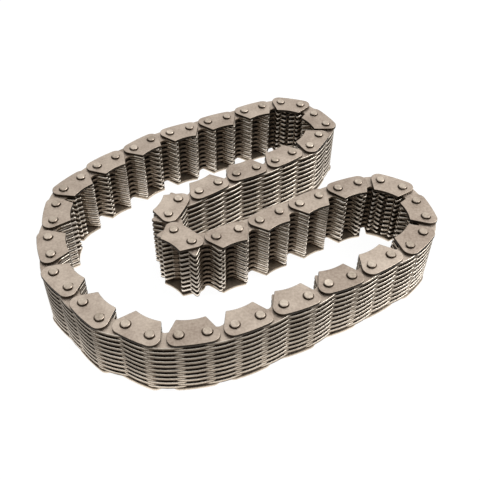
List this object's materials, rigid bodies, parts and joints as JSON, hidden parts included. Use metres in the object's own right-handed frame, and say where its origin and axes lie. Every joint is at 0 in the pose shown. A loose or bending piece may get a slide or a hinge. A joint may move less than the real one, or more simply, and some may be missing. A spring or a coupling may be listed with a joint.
{
  "type": "silent chain",
  "caption": "Endless silent chain of interleaved toothed plates on round pins, with guide plates on both sides, lying in an open horseshoe.",
  "frame": {"origin": "middle of the loop's footprint, on the plane that the pins' lower ends stand on", "axes": "+Z along the pins, upwards; +X to the right and +Y away from the viewer in the picture"},
  "size_m": [0.1546, 0.1494, 0.027],
  "materials": {
    "chain_steel": "blanked and tumbled steel, warm grey, satin"
  },
  "bodies": {
    "fixed_strand": {"fixed_strand": "chain_steel"},
    "guide_link_01": {"guide_link_01": "chain_steel"},
    "plain_link_01": {"plain_link_01": "chain_steel"},
    "guide_link_02": {"guide_link_02": "chain_steel"},
    "plain_link_02": {"plain_link_02": "chain_steel"},
    "guide_link_03": {"guide_link_03": "chain_steel"},
    "plain_link_03": {"plain_link_03": "chain_steel"},
    "guide_link_04": {"guide_link_04": "chain_steel"},
    "plain_link_04": {"plain_link_04": "chain_steel"},
    "guide_link_05": {"guide_link_05": "chain_steel"},
    "plain_link_05": {"plain_link_05": "chain_steel"},
    "guide_link_06": {"guide_link_06": "chain_steel"},
    "plain_link_06": {"plain_link_06": "chain_steel"},
    "guide_link_07": {"guide_link_07": "chain_steel"},
    "plain_link_07": {"plain_link_07": "chain_steel"},
    "guide_link_08": {"guide_link_08": "chain_steel"},
    "plain_link_08": {"plain_link_08": "chain_steel"},
    "guide_link_09": {"guide_link_09": "chain_steel"},
    "plain_link_09": {"plain_link_09": "chain_steel"},
    "guide_link_10": {"guide_link_10": "chain_steel"},
    "plain_link_10": {"plain_link_10": "chain_steel"},
    "guide_link_11": {"guide_link_11": "chain_steel"},
    "plain_link_11": {"plain_link_11": "chain_steel"},
    "guide_link_12": {"guide_link_12": "chain_steel"},
    "plain_link_12": {"plain_link_12": "chain_steel"},
    "guide_link_13": {"guide_link_13": "chain_steel"},
    "plain_link_13": {"plain_link_13": "chain_steel"},
    "guide_link_14": {"guide_link_14": "chain_steel"},
    "plain_link_14": {"plain_link_14": "chain_steel"},
    "guide_link_15": {"guide_link_15": "chain_steel"},
    "plain_link_15": {"plain_link_15": "chain_steel"},
    "guide_link_16": {"guide_link_16": "chain_steel"},
    "plain_link_16": {"plain_link_16": "chain_steel"},
    "guide_link_17": {"guide_link_17": "chain_steel"},
    "guide_link_19": {"guide_link_19": "chain_steel"},
    "plain_link_19": {"plain_link_19": "chain_steel"},
    "guide_link_20": {"guide_link_20": "chain_steel"},
    "plain_link_20": {"plain_link_20": "chain_steel"},
    "guide_link_21": {"guide_link_21": "chain_steel"},
    "plain_link_21": {"plain_link_21": "chain_steel"},
    "guide_link_22": {"guide_link_22": "chain_steel"},
    "plain_link_22": {"plain_link_22": "chain_steel"},
    "guide_link_23": {"guide_link_23": "chain_steel"},
    "plain_link_23": {"plain_link_23": "chain_steel"},
    "guide_link_24": {"guide_link_24": "chain_steel"},
    "plain_link_24": {"plain_link_24": "chain_steel"},
    "guide_link_25": {"guide_link_25": "chain_steel"},
    "plain_link_25": {"plain_link_25": "chain_steel"},
    "guide_link_26": {"guide_link_26": "chain_steel"},
    "plain_link_26": {"plain_link_26": "chain_steel"},
    "guide_link_27": {"guide_link_27": "chain_steel"},
    "plain_link_27": {"plain_link_27": "chain_steel"},
    "guide_link_28": {"guide_link_28": "chain_steel"},
    "plain_link_28": {"plain_link_28": "chain_steel"},
    "guide_link_29": {"guide_link_29": "chain_steel"},
    "plain_link_29": {"plain_link_29": "chain_steel"},
    "guide_link_30": {"guide_link_30": "chain_steel"},
    "plain_link_30": {"plain_link_30": "chain_steel"},
    "guide_link_31": {"guide_link_31": "chain_steel"},
    "plain_link_31": {"plain_link_31": "chain_steel"}
  },
  "joints": [
    {"name": "fold_hinge", "type": "hinge", "parent": "fixed_strand", "child": "guide_link_17", "pos_m": [-0.02468, -0.00131, 0.0135], "axis": [0, 0, -1], "range_deg": [-6, 24]},
    {"name": "pin_33_hinge", "type": "hinge", "parent": "guide_link_17", "child": "plain_link_16", "pos_m": [-0.02806, -0.01022, 0.0135], "axis": [0, 0, -1], "range_deg": [-0.65, 2.57]},
    {"name": "pin_32_hinge", "type": "hinge", "parent": "plain_link_16", "child": "guide_link_16", "pos_m": [-0.02539, -0.01936, 0.0135], "axis": [0, 0, -1], "range_deg": [-1.23, 4.87]},
    {"name": "pin_31_hinge", "type": "hinge", "parent": "guide_link_16", "child": "plain_link_15", "pos_m": [-0.01816, -0.02557, 0.0135], "axis": [0, 0, -1], "range_deg": [-2.41, 0.61]},
    {"name": "pin_30_hinge", "type": "hinge", "parent": "plain_link_15", "child": "guide_link_15", "pos_m": [-0.00898, -0.02304, 0.0135], "axis": [0, 0, -1], "range_deg": [-2.56, 10.19]},
    {"name": "pin_29_hinge", "type": "hinge", "parent": "guide_link_15", "child": "plain_link_14", "pos_m": [-0.00045, -0.01879, 0.0135], "axis": [0, 0, -1], "range_deg": [-1.13, 4.47]},
    {"name": "pin_28_hinge", "type": "hinge", "parent": "plain_link_14", "child": "guide_link_14", "pos_m": [0.00767, -0.01381, 0.0135], "axis": [0, 0, -1], "range_deg": [-0.57, 2.22]},
    {"name": "pin_27_hinge", "type": "hinge", "parent": "guide_link_14", "child": "plain_link_13", "pos_m": [0.01561, -0.00855, 0.0135], "axis": [0, 0, -1], "range_deg": [-0.57, 2.22]},
    {"name": "pin_26_hinge", "type": "hinge", "parent": "plain_link_13", "child": "guide_link_13", "pos_m": [0.02389, -0.00384, 0.0135], "axis": [0, 0, -1], "range_deg": [-2.23, 0.57]},
    {"name": "pin_25_hinge", "type": "hinge", "parent": "guide_link_13", "child": "plain_link_12", "pos_m": [0.032, 0.00115, 0.0135], "axis": [0, 0, -1], "range_deg": [-2.27, 0.58]},
    {"name": "pin_24_hinge", "type": "hinge", "parent": "plain_link_12", "child": "guide_link_12", "pos_m": [0.0402, 0.006, 0.0135], "axis": [0, 0, -1], "range_deg": [-3.72, 0.94]},
    {"name": "pin_23_hinge", "type": "hinge", "parent": "guide_link_12", "child": "plain_link_11", "pos_m": [0.04899, 0.00966, 0.0135], "axis": [0, 0, -1], "range_deg": [-5.42, 1.37]},
    {"name": "pin_22_hinge", "type": "hinge", "parent": "plain_link_11", "child": "guide_link_11", "pos_m": [0.05838, 0.01125, 0.0135], "axis": [0, 0, -1], "range_deg": [-0.62, 2.44]},
    {"name": "pin_21_hinge", "type": "hinge", "parent": "guide_link_11", "child": "plain_link_10", "pos_m": [0.06684, 0.00687, 0.0135], "axis": [0, 0, -1], "range_deg": [-0.62, 2.45]},
    {"name": "pin_20_hinge", "type": "hinge", "parent": "plain_link_10", "child": "guide_link_10", "pos_m": [0.0708, -0.00179, 0.0135], "axis": [0, 0, -1], "range_deg": [-0.62, 2.42]},
    {"name": "pin_19_hinge", "type": "hinge", "parent": "guide_link_10", "child": "plain_link_09", "pos_m": [0.07288, -0.01109, 0.0135], "axis": [0, 0, -1], "range_deg": [-0.61, 2.38]},
    {"name": "pin_18_hinge", "type": "hinge", "parent": "plain_link_09", "child": "guide_link_09", "pos_m": [0.07003, -0.02018, 0.0135], "axis": [0, 0, -1], "range_deg": [-0.59, 2.3]},
    {"name": "pin_17_hinge", "type": "hinge", "parent": "guide_link_09", "child": "plain_link_08", "pos_m": [0.06373, -0.02732, 0.0135], "axis": [0, 0, -1], "range_deg": [-2.22, 0.57]},
    {"name": "pin_16_hinge", "type": "hinge", "parent": "plain_link_08", "child": "guide_link_08", "pos_m": [0.0557, -0.03246, 0.0135], "axis": [0, 0, -1], "range_deg": [-2.13, 0.54]},
    {"name": "pin_15_hinge", "type": "hinge", "parent": "guide_link_08", "child": "plain_link_07", "pos_m": [0.04778, -0.03774, 0.0135], "axis": [0, 0, -1], "range_deg": [-0.52, 2.04]},
    {"name": "pin_14_hinge", "type": "hinge", "parent": "plain_link_07", "child": "guide_link_07", "pos_m": [0.03995, -0.04316, 0.0135], "axis": [0, 0, -1], "range_deg": [-1.96, 0.5]},
    {"name": "pin_13_hinge", "type": "hinge", "parent": "guide_link_07", "child": "plain_link_06", "pos_m": [0.03123, -0.047, 0.0135], "axis": [0, 0, -1], "range_deg": [-2.12, 0.54]},
    {"name": "pin_12_hinge", "type": "hinge", "parent": "plain_link_06", "child": "guide_link_06", "pos_m": [0.02371, -0.05284, 0.0135], "axis": [0, 0, -1], "range_deg": [-1.87, 0.48]},
    {"name": "pin_11_hinge", "type": "hinge", "parent": "guide_link_06", "child": "plain_link_05", "pos_m": [0.01493, -0.05655, 0.0135], "axis": [0, 0, -1], "range_deg": [-0.45, 1.75]},
    {"name": "pin_10_hinge", "type": "hinge", "parent": "plain_link_05", "child": "guide_link_05", "pos_m": [0.00685, -0.06159, 0.0135], "axis": [0, 0, -1], "range_deg": [-0.43, 1.69]},
    {"name": "pin_09_hinge", "type": "hinge", "parent": "guide_link_05", "child": "plain_link_04", "pos_m": [-0.00177, -0.06563, 0.0135], "axis": [0, 0, -1], "range_deg": [-2.17, 0.55]},
    {"name": "pin_08_hinge", "type": "hinge", "parent": "plain_link_04", "child": "guide_link_04", "pos_m": [-0.01082, -0.0686, 0.0135], "axis": [0, 0, -1], "range_deg": [-0.41, 1.58]},
    {"name": "pin_07_hinge", "type": "hinge", "parent": "guide_link_04", "child": "plain_link_03", "pos_m": [-0.02022, -0.07014, 0.0135], "axis": [0, 0, -1], "range_deg": [-2.6, 0.66]},
    {"name": "pin_06_hinge", "type": "hinge", "parent": "plain_link_03", "child": "guide_link_03", "pos_m": [-0.02975, -0.07004, 0.0135], "axis": [0, 0, -1], "range_deg": [-3.57, 0.9]},
    {"name": "pin_05_hinge", "type": "hinge", "parent": "guide_link_03", "child": "plain_link_02", "pos_m": [-0.0382, -0.06565, 0.0135], "axis": [0, 0, -1], "range_deg": [-5.85, 1.47]},
    {"name": "pin_37_hinge", "type": "hinge", "parent": "fixed_strand", "child": "guide_link_19", "pos_m": [-0.00143, 0.01526, 0.0135], "axis": [0, 0, 1], "range_deg": [-7.64, 1.92]},
    {"name": "pin_38_hinge", "type": "hinge", "parent": "guide_link_19", "child": "plain_link_19", "pos_m": [0.00704, 0.01961, 0.0135], "axis": [0, 0, 1], "range_deg": [-5.82, 1.47]},
    {"name": "pin_39_hinge", "type": "hinge", "parent": "plain_link_19", "child": "guide_link_20", "pos_m": [0.01511, 0.02467, 0.0135], "axis": [0, 0, 1], "range_deg": [-0.65, 2.55]},
    {"name": "pin_40_hinge", "type": "hinge", "parent": "guide_link_20", "child": "plain_link_20", "pos_m": [0.0228, 0.03029, 0.0135], "axis": [0, 0, 1], "range_deg": [-2.64, 0.67]},
    {"name": "pin_41_hinge", "type": "hinge", "parent": "plain_link_20", "child": "guide_link_21", "pos_m": [0.03087, 0.03535, 0.0135], "axis": [0, 0, 1], "range_deg": [-2.73, 0.69]},
    {"name": "pin_42_hinge", "type": "hinge", "parent": "guide_link_21", "child": "plain_link_21", "pos_m": [0.03561, 0.04362, 0.0135], "axis": [0, 0, 1], "range_deg": [-2.81, 0.71]},
    {"name": "pin_43_hinge", "type": "hinge", "parent": "plain_link_21", "child": "guide_link_22", "pos_m": [0.0396, 0.05227, 0.0135], "axis": [0, 0, 1], "range_deg": [-0.73, 2.89]},
    {"name": "pin_44_hinge", "type": "hinge", "parent": "guide_link_22", "child": "plain_link_22", "pos_m": [0.03466, 0.06041, 0.0135], "axis": [0, 0, 1], "range_deg": [-2.88, 0.73]},
    {"name": "pin_45_hinge", "type": "hinge", "parent": "plain_link_22", "child": "guide_link_23", "pos_m": [0.02888, 0.06798, 0.0135], "axis": [0, 0, 1], "range_deg": [-2.87, 0.73]},
    {"name": "pin_46_hinge", "type": "hinge", "parent": "guide_link_23", "child": "plain_link_23", "pos_m": [0.01962, 0.07022, 0.0135], "axis": [0, 0, 1], "range_deg": [-1.93, 7.66]},
    {"name": "pin_47_hinge", "type": "hinge", "parent": "plain_link_23", "child": "guide_link_24", "pos_m": [0.01076, 0.06674, 0.0135], "axis": [0, 0, 1], "range_deg": [-1.85, 7.37]},
    {"name": "pin_48_hinge", "type": "hinge", "parent": "guide_link_24", "child": "plain_link_24", "pos_m": [0.00223, 0.06249, 0.0135], "axis": [0, 0, 1], "range_deg": [-1.4, 5.55]},
    {"name": "pin_49_hinge", "type": "hinge", "parent": "plain_link_24", "child": "guide_link_25", "pos_m": [-0.00588, 0.05751, 0.0135], "axis": [0, 0, 1], "range_deg": [-0.64, 2.51]},
    {"name": "pin_50_hinge", "type": "hinge", "parent": "guide_link_25", "child": "plain_link_25", "pos_m": [-0.01455, 0.05355, 0.0135], "axis": [0, 0, 1], "range_deg": [-2.41, 0.61]},
    {"name": "pin_51_hinge", "type": "hinge", "parent": "plain_link_25", "child": "guide_link_26", "pos_m": [-0.02274, 0.0487, 0.0135], "axis": [0, 0, 1], "range_deg": [-5.02, 1.27]},
    {"name": "pin_52_hinge", "type": "hinge", "parent": "guide_link_26", "child": "plain_link_26", "pos_m": [-0.03133, 0.04458, 0.0135], "axis": [0, 0, 1], "range_deg": [-6.73, 1.69]},
    {"name": "pin_53_hinge", "type": "hinge", "parent": "plain_link_26", "child": "guide_link_27", "pos_m": [-0.03936, 0.03944, 0.0135], "axis": [0, 0, 1], "range_deg": [-8.25, 2.07]},
    {"name": "pin_54_hinge", "type": "hinge", "parent": "guide_link_27", "child": "plain_link_27", "pos_m": [-0.04625, 0.03287, 0.0135], "axis": [0, 0, 1], "range_deg": [-8.11, 2.04]},
    {"name": "pin_55_hinge", "type": "hinge", "parent": "plain_link_27", "child": "guide_link_28", "pos_m": [-0.05337, 0.02655, 0.0135], "axis": [0, 0, 1], "range_deg": [-6.42, 1.62]},
    {"name": "pin_56_hinge", "type": "hinge", "parent": "guide_link_28", "child": "plain_link_28", "pos_m": [-0.06039, 0.0201, 0.0135], "axis": [0, 0, 1], "range_deg": [-4.31, 1.09]},
    {"name": "pin_57_hinge", "type": "hinge", "parent": "plain_link_28", "child": "guide_link_29", "pos_m": [-0.06591, 0.01234, 0.0135], "axis": [0, 0, 1], "range_deg": [-1.88, 0.48]},
    {"name": "pin_58_hinge", "type": "hinge", "parent": "guide_link_29", "child": "plain_link_29", "pos_m": [-0.07171, 0.00479, 0.0135], "axis": [0, 0, 1], "range_deg": [-1.83, 0.47]},
    {"name": "pin_59_hinge", "type": "hinge", "parent": "plain_link_29", "child": "guide_link_30", "pos_m": [-0.07296, -0.00466, 0.0135], "axis": [0, 0, 1], "range_deg": [-0.91, 3.61]},
    {"name": "pin_60_hinge", "type": "hinge", "parent": "guide_link_30", "child": "plain_link_30", "pos_m": [-0.07223, -0.01415, 0.0135], "axis": [0, 0, 1], "range_deg": [-1.91, 7.58]},
    {"name": "pin_61_hinge", "type": "hinge", "parent": "plain_link_30", "child": "guide_link_31", "pos_m": [-0.07235, -0.02368, 0.0135], "axis": [0, 0, 1], "range_deg": [-2.77, 11.05]},
    {"name": "pin_62_hinge", "type": "hinge", "parent": "guide_link_31", "child": "plain_link_31", "pos_m": [-0.06953, -0.03278, 0.0135], "axis": [0, 0, 1], "range_deg": [-2.73, 10.89]},
    {"name": "pin_01_hinge", "type": "hinge", "parent": "plain_link_31", "child": "guide_link_01", "pos_m": [-0.06673, -0.04188, 0.0135], "axis": [0, 0, 1], "range_deg": [-1.55, 0.4]},
    {"name": "pin_02_hinge", "type": "hinge", "parent": "guide_link_01", "child": "plain_link_01", "pos_m": [-0.06023, -0.04885, 0.0135], "axis": [0, 0, 1], "range_deg": [-3.17, 0.8]},
    {"name": "pin_03_hinge", "type": "hinge", "parent": "plain_link_01", "child": "guide_link_02", "pos_m": [-0.054, -0.05605, 0.0135], "axis": [0, 0, 1], "range_deg": [-6.89, 1.73]}
  ],
  "couplings": [
    {"joint": "pin_33_hinge", "follows": "fold_hinge", "ratio": 0.10658},
    {"joint": "pin_32_hinge", "follows": "fold_hinge", "ratio": 0.20245},
    {"joint": "pin_31_hinge", "follows": "fold_hinge", "ratio": -0.099889},
    {"joint": "pin_30_hinge", "follows": "fold_hinge", "ratio": 0.42413},
    {"joint": "pin_29_hinge", "follows": "fold_hinge", "ratio": 0.18557},
    {"joint": "pin_28_hinge", "follows": "fold_hinge", "ratio": 0.092028},
    {"joint": "pin_27_hinge", "follows": "fold_hinge", "ratio": 0.091687},
    {"joint": "pin_26_hinge", "follows": "fold_hinge", "ratio": -0.092278},
    {"joint": "pin_25_hinge", "follows": "fold_hinge", "ratio": -0.093887},
    {"joint": "pin_24_hinge", "follows": "fold_hinge", "ratio": -0.15438},
    {"joint": "pin_23_hinge", "follows": "fold_hinge", "ratio": -0.22532},
    {"joint": "pin_22_hinge", "follows": "fold_hinge", "ratio": 0.10099},
    {"joint": "pin_21_hinge", "follows": "fold_hinge", "ratio": 0.10159},
    {"joint": "pin_20_hinge", "follows": "fold_hinge", "ratio": 0.10012},
    {"joint": "pin_19_hinge", "follows": "fold_hinge", "ratio": 0.09837},
    {"joint": "pin_18_hinge", "follows": "fold_hinge", "ratio": 0.095357},
    {"joint": "pin_17_hinge", "follows": "fold_hinge", "ratio": -0.091679},
    {"joint": "pin_16_hinge", "follows": "fold_hinge", "ratio": -0.08803},
    {"joint": "pin_15_hinge", "follows": "fold_hinge", "ratio": 0.08452},
    {"joint": "pin_14_hinge", "follows": "fold_hinge", "ratio": -0.081235},
    {"joint": "pin_13_hinge", "follows": "fold_hinge", "ratio": -0.087767},
    {"joint": "pin_12_hinge", "follows": "fold_hinge", "ratio": -0.077327},
    {"joint": "pin_11_hinge", "follows": "fold_hinge", "ratio": 0.072206},
    {"joint": "pin_10_hinge", "follows": "fold_hinge", "ratio": 0.069686},
    {"joint": "pin_09_hinge", "follows": "fold_hinge", "ratio": -0.089961},
    {"joint": "pin_08_hinge", "follows": "fold_hinge", "ratio": 0.065284},
    {"joint": "pin_07_hinge", "follows": "fold_hinge", "ratio": -0.1076},
    {"joint": "pin_06_hinge", "follows": "fold_hinge", "ratio": -0.14833},
    {"joint": "pin_05_hinge", "follows": "fold_hinge", "ratio": -0.24332},
    {"joint": "pin_37_hinge", "follows": "fold_hinge", "ratio": -0.31753},
    {"joint": "pin_38_hinge", "follows": "fold_hinge", "ratio": -0.24167},
    {"joint": "pin_39_hinge", "follows": "fold_hinge", "ratio": 0.10567},
    {"joint": "pin_40_hinge", "follows": "fold_hinge", "ratio": -0.10924},
    {"joint": "pin_41_hinge", "follows": "fold_hinge", "ratio": -0.11321},
    {"joint": "pin_42_hinge", "follows": "fold_hinge", "ratio": -0.11645},
    {"joint": "pin_43_hinge", "follows": "fold_hinge", "ratio": 0.11999},
    {"joint": "pin_44_hinge", "follows": "fold_hinge", "ratio": -0.11947},
    {"joint": "pin_45_hinge", "follows": "fold_hinge", "ratio": -0.11917},
    {"joint": "pin_46_hinge", "follows": "fold_hinge", "ratio": 0.31864},
    {"joint": "pin_47_hinge", "follows": "fold_hinge", "ratio": 0.30631},
    {"joint": "pin_48_hinge", "follows": "fold_hinge", "ratio": 0.23079},
    {"joint": "pin_49_hinge", "follows": "fold_hinge", "ratio": 0.10381},
    {"joint": "pin_50_hinge", "follows": "fold_hinge", "ratio": -0.099998},
    {"joint": "pin_51_hinge", "follows": "fold_hinge", "ratio": -0.20836},
    {"joint": "pin_52_hinge", "follows": "fold_hinge", "ratio": -0.27966},
    {"joint": "pin_53_hinge", "follows": "fold_hinge", "ratio": -0.3432},
    {"joint": "pin_54_hinge", "follows": "fold_hinge", "ratio": -0.33748},
    {"joint": "pin_55_hinge", "follows": "fold_hinge", "ratio": -0.26685},
    {"joint": "pin_56_hinge", "follows": "fold_hinge", "ratio": -0.17903},
    {"joint": "pin_57_hinge", "follows": "fold_hinge", "ratio": -0.07783},
    {"joint": "pin_58_hinge", "follows": "fold_hinge", "ratio": -0.075511},
    {"joint": "pin_59_hinge", "follows": "fold_hinge", "ratio": 0.14999},
    {"joint": "pin_60_hinge", "follows": "fold_hinge", "ratio": 0.31505},
    {"joint": "pin_61_hinge", "follows": "fold_hinge", "ratio": 0.45997},
    {"joint": "pin_62_hinge", "follows": "fold_hinge", "ratio": 0.45325},
    {"joint": "pin_01_hinge", "follows": "fold_hinge", "ratio": -0.063826},
    {"joint": "pin_02_hinge", "follows": "fold_hinge", "ratio": -0.13136},
    {"joint": "pin_03_hinge", "follows": "fold_hinge", "ratio": -0.28645}
  ]
}
